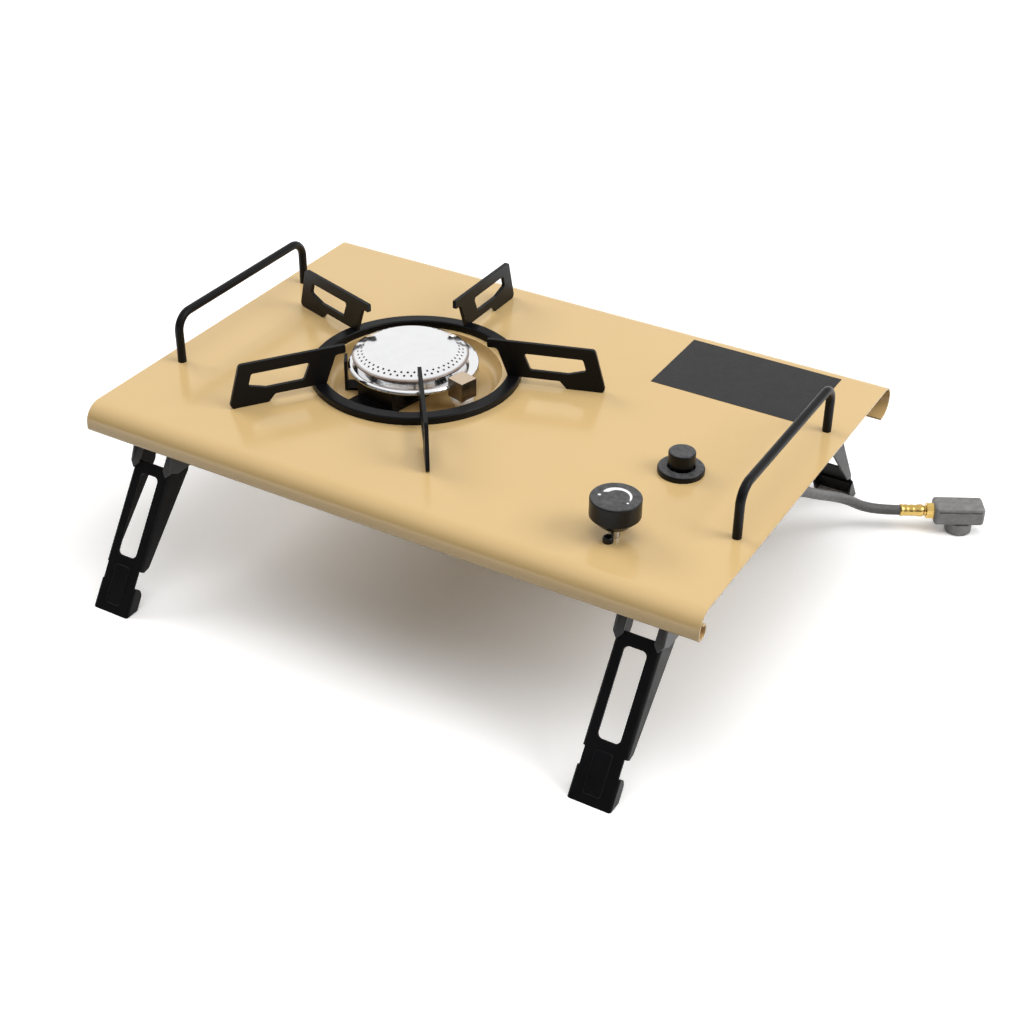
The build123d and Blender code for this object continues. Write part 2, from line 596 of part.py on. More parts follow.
def make_valve():
    """The gas valve under the plate, with its screws, its inlet and its knob on the spindle."""
    x, y = KNOB_CENTRE
    low = UNDERSIDE - VALVE_HEIGHT
    body = Box(VALVE_SIZE, VALVE_SIZE, VALVE_HEIGHT, align=STANDING)
    body = fillet(body.edges().filter_by(Axis.Z), 0.15 * VALVE_SIZE)
    body = Pos(x, y, low) * body
    spindle_low = UNDERSIDE - VALVE_SPINDLE_DEPTH
    body -= cylinder(SPINDLE_DIAMETER + 2 * RUNNING_CLEARANCE, TALL, x, y, spindle_low)
    screws = []
    for side in (-VALVE_SCREW_OFFSET, VALVE_SCREW_OFFSET):
        screw_low = UNDERSIDE - VALVE_SCREW_DEPTH
        body -= cylinder(VALVE_SCREW_DIAMETER, VALVE_SCREW_DEPTH, x, y + side, screw_low)
        shank = SHEET + VALVE_SCREW_DEPTH
        valve_screw = screw(VALVE_SCREW_DIAMETER, shank, VALVE_SCREW_HEAD_DIAMETER, VALVE_SCREW_HEAD_HEIGHT)
        slot = Pos(0, 0, VALVE_SCREW_HEAD_HEIGHT) * Box(RECESS_LENGTH, RECESS_WIDTH, 2 * RECESS_DEPTH)
        valve_screw -= Rot(0, 0, 45) * slot
        valve_screw -= Rot(0, 0, -45) * slot
        screws.append(Pos(x, y + side, PLATE_TOP) * valve_screw)
    keep("valve_body", body)
    keep("valve_screws", Compound(children=screws))
    bore_top = PLATE_TOP + KNOB_BOTTOM + KNOB_BORE_DEPTH
    keep("valve_spindle", cylinder(SPINDLE_DIAMETER, bore_top - spindle_low, x, y, spindle_low))
    knob_outline = [
        (0, KNOB_BOTTOM),
        (KNOB_FOOT_DIAMETER / 2, KNOB_BOTTOM),
        (KNOB_DIAMETER / 2, KNOB_SHOULDER),
        (KNOB_DIAMETER / 2, KNOB_TOP),
        (0, KNOB_TOP),
    ]
    knob = turned(Polyline(*knob_outline, close=True))
    knob = fillet(knob.edges().group_by(Axis.Z)[-1], KNOB_EDGE)
    knob -= cylinder(SPINDLE_DIAMETER, KNOB_BORE_DEPTH, z=KNOB_BOTTOM)
    keep("control_knob", Pos(x, y, PLATE_TOP) * knob)
    backward = Pos(x + INLET_SHIFT, y + VALVE_SIZE / 2, PLATE_TOP - INLET_DROP) * Rot(-90, 0, 0)
    keep("inlet_nut", backward * hexagon(INLET_NUT_SIZE, INLET_NUT_LENGTH))
    keep("inlet_ferrule", backward * cylinder(FERRULE_DIAMETER, INLET_FERRULE_LENGTH, z=INLET_NUT_LENGTH))


def make_gas_pipe():
    """The bent pipe from the valve to the injector in the mixing tube's mouth."""
    z = PLATE_TOP - MIXER_DROP
    mouth = BURNER_CENTRE[0] + MIXER_LENGTH
    injector_end = mouth + INJECTOR_LENGTH / 2
    valve_side = KNOB_CENTRE[0] - VALVE_SIZE / 2
    corners = [
        (injector_end, BURNER_CENTRE[1], z),
        (PIPE_TURN_X, BURNER_CENTRE[1], z),
        (PIPE_TURN_X, KNOB_CENTRE[1], z),
        (valve_side, KNOB_CENTRE[1], z),
    ]
    path = FilletPolyline(*corners, radius=PIPE_BEND)
    section = Plane(origin=corners[0], z_dir=(1, 0, 0)) * Circle(PIPE_DIAMETER / 2)
    keep("gas_pipe", sweep(section, path=path))
    along = Pos(mouth - INJECTOR_LENGTH / 2, BURNER_CENTRE[1], z) * Rot(0, 90, 0)
    holder = along * cylinder(INJECTOR_DIAMETER, INJECTOR_LENGTH)
    reach = 2 * (MIXER_RADIUS - NECK_WALL - HOLE_CLEARANCE)
    web = Box(reach, INJECTOR_WEB, INJECTOR_LENGTH / 2, align=STANDING)
    keep("gas_injector", holder + along * web)


def make_igniter():
    """The piezo igniter: bezel, body and nut fixed in the plate, and the push button."""
    x, y = IGNITER_CENTRE
    bezel = cylinder(BEZEL_DIAMETER, BEZEL_HEIGHT)
    bezel = fillet(bezel.edges().group_by(Axis.Z)[-1], BEZEL_EDGE)
    bezel -= cylinder(BUTTON_DIAMETER + 2 * BUTTON_CLEARANCE, BEZEL_HEIGHT)
    keep("igniter_bezel", Pos(x, y, PLATE_TOP) * bezel)
    body = cylinder(PIEZO_DIAMETER, PIEZO_DEPTH, z=-PIEZO_DEPTH)
    well = BUTTON_TRAVEL + 2 * BUTTON_CLEARANCE
    body -= cylinder(PIEZO_DIAMETER - 2 * PIEZO_WALL, well, z=-well)
    plunger_room = PIEZO_DEPTH - PIEZO_WALL
    body -= cylinder(PLUNGER_DIAMETER + 2 * RUNNING_CLEARANCE, plunger_room, z=-plunger_room)
    keep("piezo_body", Pos(x, y, PLATE_TOP) * body)
    nut = hexagon(PIEZO_NUT_DIAMETER, PIEZO_NUT_HEIGHT) - cylinder(PIEZO_DIAMETER, PIEZO_NUT_HEIGHT)
    keep("igniter_nut", Pos(x, y, UNDERSIDE - PIEZO_NUT_HEIGHT) * nut)
    top = BEZEL_HEIGHT + BUTTON_HEIGHT
    low = BUTTON_TRAVEL + BUTTON_CLEARANCE
    button = cylinder(BUTTON_DIAMETER, top - low, z=low)
    button = fillet(button.edges().group_by(Axis.Z)[-1], BUTTON_EDGE)
    stem_low = BUTTON_TRAVEL + PIEZO_WALL - PIEZO_DEPTH + 2 * BUTTON_CLEARANCE
    button += cylinder(PLUNGER_DIAMETER, low - stem_low, z=stem_low)
    keep("igniter_button", Pos(x, y, PLATE_TOP) * button)


def cord_path(points, share):
    """Straight runs joined by tangent arcs, each as large as its shorter run allows."""
    places = [Vector(*point) for point in points]
    runs = [after - before for before, after in zip(places, places[1:])]
    radii = []
    for before, after in zip(runs, runs[1:]):
        turn = math.radians(before.get_angle(after))
        radii.append(share * min(before.length, after.length) / math.tan(turn / 2))
    return FilletPolyline(*places, radius=radii), runs, radii


def make_cord(name, points, diameter):
    """A plain round cord along its route."""
    path, runs, radii = cord_path(points, CORD_ARC_SHARE)
    section = Plane(origin=points[0], z_dir=runs[0]) * Circle(diameter / 2)
    cord = sweep(section, path=path)
    expected = math.pi * diameter ** 2 / 4 * path.length
    print(name, "length", round(path.length, 1), "radii", [round(radius) for radius in radii])
    print(name, "volume", round(cord.volume), "section times length", round(expected))
    keep(name, cord)


def make_ignition_wire():
    """The insulated wire from the piezo body to the spark electrode, under the plate."""
    low = PLATE_TOP + COVER_TOP - COVER_HEIGHT - INSULATOR_LENGTH
    start = burner_place(ELECTRODE_ANGLE, ELECTRODE_RADIUS_AT, low).position
    end = Vector(*IGNITER_CENTRE, PLATE_TOP - PIEZO_DEPTH)
    drop = Vector(0, 0, WIRE_DROP)
    across = end - start
    middle = [Vector(start.X + share * across.X, start.Y + share * across.Y, z) for share, z in WIRE_MIDDLE]
    route = [start, start - drop, *middle, end - drop, end]
    print("ignition_wire route", [[round(value, 2) for value in point] for point in route])
    make_cord("ignition_wire", route, WIRE_DIAMETER)


def leg_point(u, v):
    """A point of the splayed leg in (y, z) from its hinge: u down the leg, v outward."""
    angle = math.radians(SPLAY)
    return (-u * math.sin(angle) - v * math.cos(angle), -u * math.cos(angle) + v * math.sin(angle))


def make_leg():
    """A front leg about its hinge at the origin: a pressed channel with a flat foot."""
    half = LEG_WIDTH / 2
    face = -WEB_OFFSET
    web_length = NECK_START - WEB_START
    web = Box(LEG_WIDTH, LEG_SHEET, web_length, align=HANGING)
    leg = Pos(0, face, -WEB_START) * web
    flange = [
        (face, -WEB_START),
        (face, -NECK_START),
        (face + FLANGE_LOW_DEPTH / 2, -NECK_START),
        (face + FLANGE_LOW_DEPTH, -NECK_START + FLANGE_LOW_DEPTH / 2),
        (face + FLANGE_TOP_DEPTH, -WEB_START + 2),
        (EYE_RADIUS * 0.9, 0),
        (-EYE_RADIUS * 0.9, 0),
    ]
    for side in (-1, 1):
        middle = side * (half - LEG_SHEET / 2)
        leg += Pos(middle, 0, 0) * side_profile(flange, LEG_SHEET)
        leg += Pos(middle, 0, 0) * Rot(0, 90, 0) * Cylinder(EYE_RADIUS, LEG_SHEET)
    neck = Box(NECK_WIDTH, LEG_SHEET, FOOT_START - NECK_START + 2, align=HANGING)
    leg += Pos(0, face, -NECK_START + 1) * neck
    foot_length = FOOT_END - FOOT_START
    foot = Box(FOOT_WIDTH, FOOT_THICK, foot_length, align=HANGING)
    leg += Pos(0, face, -FOOT_START) * foot
    tab_inner = Box(FOOT_WIDTH, FOOT_TAB_DEPTH, FOOT_TAB_LENGTH, align=HANGING)
    tab_inner = fillet(tab_inner.edges().filter_by(Axis.X).group_by(Axis.Y)[-1], 0.3 * FOOT_TAB_LENGTH)
    tab_room = Box(FOOT_WIDTH - 2 * LEG_SHEET, 3 * FOOT_TAB_DEPTH, 2 * FOOT_TAB_LENGTH)
    leg += Pos(0, face, -FOOT_START) * (tab_inner - tab_room)
    envelope = Box(LEG_WIDTH, TALL, TALL, align=(Align.CENTER, Align.MIN, Align.CENTER))
    envelope = fillet(envelope.edges().filter_by(Axis.Z), LEG_BEND_RADIUS)
    leg &= Pos(0, face, 0) * envelope
    slot_middle = -(SLOT_START + SLOT_END) / 2
    slot = Box(SLOT_WIDTH, 4 * LEG_SHEET, SLOT_END - SLOT_START)
    slot = fillet(slot.edges().filter_by(Axis.Y), SLOT_CORNER)
    leg -= Pos(0, face, slot_middle) * slot
    panel_length = PANEL_END - PANEL_START
    panel = Box(PANEL_WIDTH, PANEL_RISE, panel_length, align=(Align.CENTER, Align.MAX, Align.CENTER))
    panel = fillet(panel.edges().filter_by(Axis.Y), PANEL_WIDTH / 6)
    panel = chamfer(panel.faces().sort_by(Axis.Y)[0].edges(), 0.7 * PANEL_RISE)
    leg += Pos(0, face, -(PANEL_START + PANEL_END) / 2) * panel
    leg -= Rot(0, 90, 0) * Cylinder(PIN_DIAMETER / 2 + PIN_CLEARANCE, TALL)
    leg = Rot(-SPLAY, 0, 0) * leg
    ground = Box(TALL, TALL, TALL, align=(Align.CENTER, Align.CENTER, Align.MAX))
    return leg - Pos(0, 0, -HINGE_Z) * ground


def make_leg_bracket():
    """The bracket under the plate for a front leg, about the hinge: two ears, a base and two stops."""
    room = UNDERSIDE - HINGE_Z
    inside = LEG_WIDTH / 2 + EAR_GAP
    stop_face = WEB_OFFSET + STOP_GAP
    stop_back = stop_face + EAR_SHEET
    ear = [
        (EAR_BACK, room),
        (-EAR_FRONT, room),
        (-EAR_FRONT, EAR_FRONT),
        leg_point(STOP_END, stop_back),
        leg_point(STOP_END, stop_face),
        (-EAR_LOW, -EAR_LOW),
        (EAR_LOW / 2, -EAR_LOW),
        (EAR_LOW, -EAR_LOW / 3),
    ]
    stop = [
        leg_point(STOP_TOP, stop_face),
        leg_point(STOP_TOP, stop_back),
        leg_point(STOP_END, stop_back),
        leg_point(STOP_END, stop_face),
    ]
    base = Box(
        2 * (inside + EAR_SHEET + FOOTPLATE_OVERHANG),
        EAR_BACK + EAR_FRONT,
        EAR_SHEET,
        align=HANGING,
    )
    bracket = Pos(0, -EAR_FRONT, room) * base
    tip = Rot(-SPLAY, 0, 0) * Pos(0, -(stop_face + stop_back) / 2, -STOP_END)
    for side in (-1, 1):
        bracket += Pos(side * (inside + EAR_SHEET / 2), 0, 0) * side_profile(ear, EAR_SHEET)
        stop_middle = inside + EAR_SHEET - STOP_WIDTH / 2
        bracket += Pos(side * stop_middle, 0, 0) * side_profile(stop, STOP_WIDTH)
        point = make_face(Polyline((-STOP_WIDTH / 2, 0), (STOP_WIDTH / 2, 0), (0, -STOP_POINT), close=True))
        wedge = extrude(Plane.XZ * point, EAR_SHEET / 2, both=True)
        bracket += Pos(side * stop_middle, 0, 0) * tip * wedge
    return bracket - Rot(0, 90, 0) * Cylinder(PIN_DIAMETER / 2, TALL)


def make_legs():
    """Four legs with their brackets and pins, mirrored to each corner."""
    leg = make_leg()
    bracket = make_leg_bracket()
    grip = LEG_WIDTH + 2 * (EAR_GAP + EAR_SHEET)
    pin = cylinder(PIN_DIAMETER, grip, z=-grip / 2)
    pin += cylinder(PIN_HEAD_DIAMETER, PIN_HEAD_LENGTH, z=grip / 2)
    pin += cylinder(PIN_HEAD_DIAMETER, PIN_HEAD_LENGTH, z=-grip / 2 - PIN_HEAD_LENGTH)
    pin = Rot(0, 90, 0) * pin
    corners = {
        "front_left": (-LEG_X, -HINGE_Y),
        "front_right": (LEG_X, -HINGE_Y),
        "back_left": (-LEG_X, HINGE_Y),
        "back_right": (LEG_X, HINGE_Y),
    }
    for corner, (x, y) in corners.items():
        place = Pos(x, y, HINGE_Z)
        pieces = {"leg": leg, "leg_bracket": bracket, "leg_pin": pin}
        for piece, shape in pieces.items():
            if y > 0:
                shape = mirror(shape, Plane.XZ)
            keep(f"{piece}_{corner}", place * shape)


def make_regulator():
    """The canister regulator on the ground at the hose's far end, with its ferrule and socket."""
    start = Vector(*HOSE_ROUTE[-1])
    heading = start - Vector(*HOSE_ROUTE[-2])
    along = Plane(origin=start, z_dir=heading, x_dir=(0, 0, -1)).location
    keep("hose_ferrule", along * cylinder(FERRULE_DIAMETER, FERRULE_LENGTH))
    keep("hose_nut", along * hexagon(HOSE_NUT_SIZE, HOSE_NUT_LENGTH, z=FERRULE_LENGTH))
    block_start = FERRULE_LENGTH + HOSE_NUT_LENGTH
    block = Box(REGULATOR_HEIGHT, REGULATOR_WIDTH, REGULATOR_LENGTH, align=STANDING)
    block = fillet(block.edges(), REGULATOR_EDGE)
    groove = Box(GROOVE_HEIGHT, 2 * GROOVE_DEPTH, REGULATOR_LENGTH - 2 * GROOVE_END)
    groove_x = GROOVE_DROP - REGULATOR_HEIGHT / 2
    for side in (-1, 1):
        block -= Pos(groove_x, side * REGULATOR_WIDTH / 2, REGULATOR_LENGTH / 2) * groove
    socket_place = Pos(REGULATOR_HEIGHT / 2, 0, COLLAR_ALONG) * Rot(0, 90, 0)
    block -= socket_place * cylinder(2 * SEAL_RADIUS, SEAL_THICK, z=-SEAL_THICK)
    seal = cylinder(2 * SEAL_RADIUS, SEAL_THICK, z=-SEAL_THICK)
    seal -= cylinder(2 * SEAL_BORE_RADIUS, SEAL_THICK, z=-SEAL_THICK)
    collar_height = start.Z - REGULATOR_HEIGHT / 2 - COLLAR_FLOOR_GAP
    collar = cylinder(COLLAR_DIAMETER, collar_height)
    collar = fillet(collar.edges().group_by(Axis.Z)[-1], 1.0)
    collar -= cylinder(2 * SOCKET_RADIUS, collar_height)
    block_place = along * Pos(0, 0, block_start)
    keep("regulator_body", block_place * block)
    keep("regulator_seal", block_place * socket_place * seal)
    keep("canister_collar", block_place * socket_place * collar)
    mouth = (block_place * socket_place * Pos(0, 0, collar_height)).position
    print("canister socket mouth", [round(value, 3) for value in mouth], "length", round(collar_height, 3))


make_plate()
make_label()
make_handles()
make_trivet()
make_burner()
make_burner_bracket()
make_electrode()
make_valve()
make_gas_pipe()
make_igniter()
make_ignition_wire()
make_legs()
make_cord("gas_hose", HOSE_ROUTE, HOSE_DIAMETER)
make_regulator()

os.makedirs("parts", exist_ok=True)
for node_name, node_shape in nodes.items():
    export_step(node_shape, f"parts/{node_name}.step")
print(len(nodes), "nodes")
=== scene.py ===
import json
import math

import bmesh
import bpy
from mathutils import Matrix, Vector


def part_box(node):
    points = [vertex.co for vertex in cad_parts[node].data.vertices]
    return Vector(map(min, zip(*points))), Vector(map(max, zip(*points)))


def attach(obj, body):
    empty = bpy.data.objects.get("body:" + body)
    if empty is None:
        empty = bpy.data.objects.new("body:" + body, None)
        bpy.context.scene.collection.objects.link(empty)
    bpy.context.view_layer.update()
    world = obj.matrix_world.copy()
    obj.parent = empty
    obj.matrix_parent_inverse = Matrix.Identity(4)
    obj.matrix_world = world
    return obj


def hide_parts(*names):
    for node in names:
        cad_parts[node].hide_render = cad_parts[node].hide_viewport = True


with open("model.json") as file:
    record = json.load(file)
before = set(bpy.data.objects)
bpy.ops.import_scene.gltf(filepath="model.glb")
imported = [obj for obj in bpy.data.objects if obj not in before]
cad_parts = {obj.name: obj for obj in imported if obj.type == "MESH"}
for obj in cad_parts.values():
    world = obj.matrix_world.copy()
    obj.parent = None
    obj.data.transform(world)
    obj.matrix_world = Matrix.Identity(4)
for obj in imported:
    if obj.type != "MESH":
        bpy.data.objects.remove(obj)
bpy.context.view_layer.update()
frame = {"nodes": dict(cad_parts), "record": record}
nodes = frame["nodes"]

PLATE_TOP = 0.125
CAP = Vector((-0.06671, -0.001, PLATE_TOP))
CAP_LIP_RADIUS = 0.0402
KNOB = Vector((0.146, -0.107, PLATE_TOP))

# Camera
SENSOR_WIDTH_MM = 36.0
LENS_MM = 60.89
CAMERA_PLACE = Vector((0.51613, -0.87497, 0.71019))
CAMERA_RIGHT = Vector((0.86444, 0.50264, 0.00890))
CAMERA_UP = Vector((-0.28613, 0.47736, 0.83082))
CAMERA_BACK = Vector((0.41336, -0.72075, 0.55648))
camera_data = bpy.data.cameras.new("camera")
camera_data.sensor_width = SENSOR_WIDTH_MM
camera_data.lens = LENS_MM
camera = bpy.data.objects.new("camera", camera_data)
bpy.context.scene.collection.objects.link(camera)
turn = Matrix((CAMERA_RIGHT, CAMERA_UP, CAMERA_BACK)).transposed().to_4x4()
camera.matrix_world = Matrix.Translation(CAMERA_PLACE) @ turn
bpy.context.scene.camera = camera


class Finish:
    """A procedural material that grows node by node. Lengths are metres in the part's frame."""

    def __init__(self, name, colour, roughness, metallic=0.0, specular=0.5):
        self.material = bpy.data.materials.new(name)
        self.material.use_nodes = True
        self.tree = self.material.node_tree
        self.shader = self.tree.nodes["Principled BSDF"]
        self.set("Base Color", (*colour, 1.0))
        self.set("Roughness", roughness)
        self.set("Metallic", metallic)
        self.set("Specular IOR Level", specular)
        self.place = self.add("ShaderNodeTexCoord").outputs["Object"]
        self.normal = None

    def set(self, socket, value):
        self.shader.inputs[socket].default_value = value

    def add(self, kind, **settings):
        node = self.tree.nodes.new(kind)
        for key, value in settings.items():
            setattr(node, key, value)
        return node

    def feed(self, node, socket, value):
        if isinstance(value, bpy.types.NodeSocket):
            self.tree.links.new(value, node.inputs[socket])
        else:
            node.inputs[socket].default_value = value

    def noise(self, scale, detail=4.0, rough=0.6, stretch=None, place=None):
        source = place or self.place
        if stretch:
            mapping = self.add("ShaderNodeMapping")
            self.feed(mapping, "Vector", source)
            self.feed(mapping, "Scale", stretch)
            source = mapping.outputs["Vector"]
        node = self.add("ShaderNodeTexNoise")
        self.feed(node, "Vector", source)
        self.feed(node, "Scale", scale)
        self.feed(node, "Detail", detail)
        self.feed(node, "Roughness", rough)
        return node.outputs["Fac"]

    def spread(self, value, low, high, start=0.3, end=0.7):
        node = self.add("ShaderNodeMapRange")
        self.feed(node, "Value", value)
        self.feed(node, "From Min", start)
        self.feed(node, "From Max", end)
        self.feed(node, "To Min", low)
        self.feed(node, "To Max", high)
        return node.outputs["Result"]

    def math(self, kind, first, second=0.0):
        node = self.add("ShaderNodeMath", operation=kind)
        self.feed(node, 0, first)
        self.feed(node, 1, second)
        return node.outputs["Value"]

    def mix(self, factor, first, second):
        node = self.add("ShaderNodeMix", data_type="RGBA")
        node.inputs[0].default_value = 0.5
        self.feed(node, 0, factor)
        for index, colour in ((6, first), (7, second)):
            value = colour if isinstance(colour, bpy.types.NodeSocket) else (*colour, 1.0)
            self.feed(node, index, value)
        return node.outputs[2]

    def axis(self, letter, place=None):
        node = self.add("ShaderNodeSeparateXYZ")
        self.feed(node, 0, place or self.place)
        return node.outputs[letter]

    def about(self, centre):
        """Coordinates from a centre of the part's frame."""
        node = self.add("ShaderNodeVectorMath", operation="SUBTRACT")
        self.feed(node, 0, self.place)
        self.feed(node, 1, tuple(centre))
        return node.outputs["Vector"]

    def radius(self, centre):
        """Distance from the upright axis through a centre."""
        place = self.about(centre)
        x, y = self.axis("X", place), self.axis("Y", place)
        squares = self.math("ADD", self.math("MULTIPLY", x, x), self.math("MULTIPLY", y, y))
        return self.math("SQRT", squares)

    def colour(self, value):
        self.feed(self.shader, "Base Color", value)

    def roughness(self, value):
        self.feed(self.shader, "Roughness", value)

    def tones(self, scale, detail, dark, light):
        """Colour that wanders between two tones."""
        self.colour(self.mix(self.spread(self.noise(scale, detail), 0.0, 1.0), dark, light))

    def gloss(self, scale, detail, low, high):
        """Roughness that wanders between two values."""
        self.roughness(self.spread(self.noise(scale, detail), low, high))

    def soft_edges(self, radius):
        node = self.add("ShaderNodeBevel", samples=6)
        self.feed(node, "Radius", radius)
        self.normal = node.outputs["Normal"]
        self.feed(self.shader, "Normal", self.normal)

    def bump(self, height, distance, strength=1.0):
        node = self.add("ShaderNodeBump")
        self.feed(node, "Height", height)
        self.feed(node, "Distance", distance)
        self.feed(node, "Strength", strength)
        if self.normal:
            self.feed(node, "Normal", self.normal)
        self.normal = node.outputs["Normal"]
        self.feed(self.shader, "Normal", self.normal)


def powder_coat(name, dark, light, roughness, grain, edge):
    """Painted sheet: fine orange peel, cloudy colour and gloss, softened edges."""
    finish = Finish(name, light, roughness)
    cloud = finish.noise(9.0, 3.0)
    fine = finish.noise(900.0, 2.0)
    tone = finish.math("ADD", finish.math("MULTIPLY", cloud, 0.75), finish.math("MULTIPLY", fine, 0.25))
    finish.colour(finish.mix(finish.spread(tone, 0.0, 1.0), dark, light))
    finish.gloss(60.0, 5.0, roughness - 0.05, roughness + 0.06)
    finish.soft_edges(edge)
    finish.bump(finish.noise(grain, 3.0, 0.5), 0.00004, 0.35)
    return finish


def plastic(name, colour, roughness, edge):
    """Moulded plastic with a fine spark-eroded grain."""
    finish = Finish(name, colour, roughness)
    finish.gloss(420.0, 3.0, roughness - 0.05, roughness + 0.07)
    finish.soft_edges(edge)
    finish.bump(finish.noise(3200.0, 2.0, 0.5), 0.00003, 0.25)
    return finish


def metal(name, dark, light, roughness, stretch, edge):
    """Worked metal with drawn or machined lines along one direction."""
    finish = Finish(name, light, roughness, metallic=1.0)
    lines = finish.noise(260.0, 5.0, 0.65, stretch)
    finish.colour(finish.mix(finish.spread(lines, 0.0, 1.0), dark, light))
    finish.gloss(45.0, 4.0, roughness - 0.06, roughness + 0.1)
    finish.soft_edges(edge)
    finish.bump(lines, 0.00003, 0.3)
    return finish


tan_paint = powder_coat("tan_paint", (0.67, 0.466, 0.208), (0.695, 0.487, 0.223), 0.17, 1500.0, 0.0004)
black_paint = powder_coat("black_paint", (0.0025, 0.0025, 0.003), (0.005, 0.005, 0.006), 0.36, 1800.0, 0.0004)
black_paint.set("Specular IOR Level", 0.15)
# Leg brackets: a lighter grey copy of the black paint, which paints in the sheen of their lit faces
bracket_sheen_paint = powder_coat("bracket_sheen_paint", (0.06, 0.06, 0.062), (0.08, 0.08, 0.083), 0.42, 1800.0, 0.0004)

# Black plastic, with a painted sheen: a blotchy lighter grey on the faces that look up
PLASTIC_BLACK = (0.003, 0.003, 0.0035)
PLASTIC_PAINTED_SHEEN = (0.14, 0.14, 0.144)
black_plastic = plastic("black_plastic", PLASTIC_BLACK, 0.32, 0.0004)
black_plastic.set("Specular IOR Level", 0.2)
up = black_plastic.axis("Z", black_plastic.add("ShaderNodeNewGeometry").outputs["Normal"])
upward = black_plastic.spread(up, 0.0, 1.0, 0.6, 0.95)
# painted sheen: lighter grey blotches only on upward faces
painted_sheen = black_plastic.math("MULTIPLY", upward, black_plastic.noise(300.0))
black_plastic.colour(black_plastic.mix(painted_sheen, PLASTIC_BLACK, PLASTIC_PAINTED_SHEEN))

PLASTIC_DARK = (0.010, 0.010, 0.011)
dark_plastic = plastic("dark_plastic", PLASTIC_DARK, 0.45, 0.0003)
dark_plastic.tones(140.0, 4.0, PLASTIC_DARK, (0.016, 0.016, 0.017))

screw_black = metal("screw_black", (0.02, 0.02, 0.021), (0.05, 0.05, 0.052), 0.3, (1, 1, 0.2), 0.0002)
plain_steel = metal("plain_steel", (0.46, 0.45, 0.43), (0.66, 0.65, 0.63), 0.28, (1, 1, 0.08), 0.0002)
cast_alloy = metal("cast_alloy", (0.36, 0.36, 0.365), (0.52, 0.52, 0.53), 0.46, None, 0.0005)
brass = metal("brass", (0.52, 0.34, 0.085), (0.76, 0.54, 0.19), 0.24, (0.2, 0.2, 1.2), 0.0002)

# Electrode's cover: painted light on top and painted shade on its sides, with brown stains on its sides
COVER_PAINTED_SHADE = (0.16, 0.13, 0.1)
COVER_PAINTED_LIGHT = (0.7, 0.55, 0.4)
COVER_STAIN = (0.3, 0.26, 0.22)
tinted_steel_painted_light = metal("tinted_steel_painted_light", COVER_PAINTED_SHADE, COVER_PAINTED_LIGHT, 0.28, (1, 1, 0.2), 0.0003)
up = tinted_steel_painted_light.axis("Z", tinted_steel_painted_light.add("ShaderNodeNewGeometry").outputs["Normal"])
sides = tinted_steel_painted_light.spread(up, 0.5, 0.0, 0.1, 0.8)
stain = tinted_steel_painted_light.math("MULTIPLY", tinted_steel_painted_light.noise(120.0, 4.0), sides)
# painted light and shade: lighter on upward faces, darker on the sides
painted_light_and_shade = tinted_steel_painted_light.mix(tinted_steel_painted_light.spread(up, 0.0, 1.0, 0.1, 0.8), COVER_PAINTED_SHADE, COVER_PAINTED_LIGHT)
tinted_steel_painted_light.colour(tinted_steel_painted_light.mix(stain, painted_light_and_shade, COVER_STAIN))

# Polished burner: faint turned rings, a brown band round the cap's lip that is partly heat tint and partly
# painted shade, and painted shade, rougher too, on the cap's downward faces
STEEL_BRIGHT = (0.94, 0.94, 0.945)
STEEL_DULL = (0.82, 0.82, 0.83)
LIP_TINT_AND_SHADE = (0.16, 0.085, 0.045)
UNDERSIDE_SHADE = (0.025, 0.021, 0.018)
LIP_BAND_FADE = (0.0007, 0.002)
CAP_FOOT = (PLATE_TOP + 0.0095, PLATE_TOP + 0.0115)
CAP_INSIDE = (PLATE_TOP + 0.0131, PLATE_TOP + 0.0135)
polished = Finish("polished_steel", STEEL_BRIGHT, 0.12, metallic=1.0)
reach = polished.radius(CAP)
rings = polished.add("ShaderNodeTexNoise", noise_dimensions="1D")
polished.feed(rings, "W", reach)
polished.feed(rings, "Scale", 2400.0)
polished.feed(rings, "Detail", 3.0)
# brown band at the cap's lip: heat tint together with painted shade below the cap's edge
from_lip = polished.math("ABSOLUTE", polished.math("SUBTRACT", reach, CAP_LIP_RADIUS))
heat_tint_and_shade = polished.spread(from_lip, 0.95, 0.0, *LIP_BAND_FADE)
heat_tint_and_shade = polished.math("MULTIPLY", heat_tint_and_shade, polished.spread(polished.noise(60.0, 3.0), 0.7, 1.0))
on_cap = polished.spread(polished.axis("Z"), 0.0, 1.0, *CAP_FOOT)
heat_tint_and_shade = polished.math("MULTIPLY", heat_tint_and_shade, on_cap)
mottle = polished.spread(polished.noise(90.0, 4.0), 0.0, 0.35)
shade = polished.math("ADD", polished.spread(rings.outputs["Fac"], 0.0, 0.1), mottle)
bright = polished.mix(shade, STEEL_BRIGHT, STEEL_DULL)
tinted_and_shaded = polished.mix(heat_tint_and_shade, bright, LIP_TINT_AND_SHADE)
# painted shade on the downward faces under the cap, which are also made rougher
facing = polished.add("ShaderNodeNewGeometry").outputs["Normal"]
painted_underside_shade = polished.spread(polished.axis("Z", facing), 1.0, 0.0, -0.4, -0.1)
inside = polished.spread(polished.axis("Z"), 0.0, 1.0, *CAP_INSIDE)
painted_underside_shade = polished.math("MULTIPLY", painted_underside_shade, inside)
polished.colour(polished.mix(painted_underside_shade, tinted_and_shaded, UNDERSIDE_SHADE))
clean = polished.spread(polished.noise(55.0, 4.0), 0.08, 0.15)
polished.roughness(polished.math("ADD", clean, polished.math("MULTIPLY", painted_underside_shade, 0.4)))
polished.soft_edges(0.0002)
polished.bump(rings.outputs["Fac"], 0.00001, 0.12)

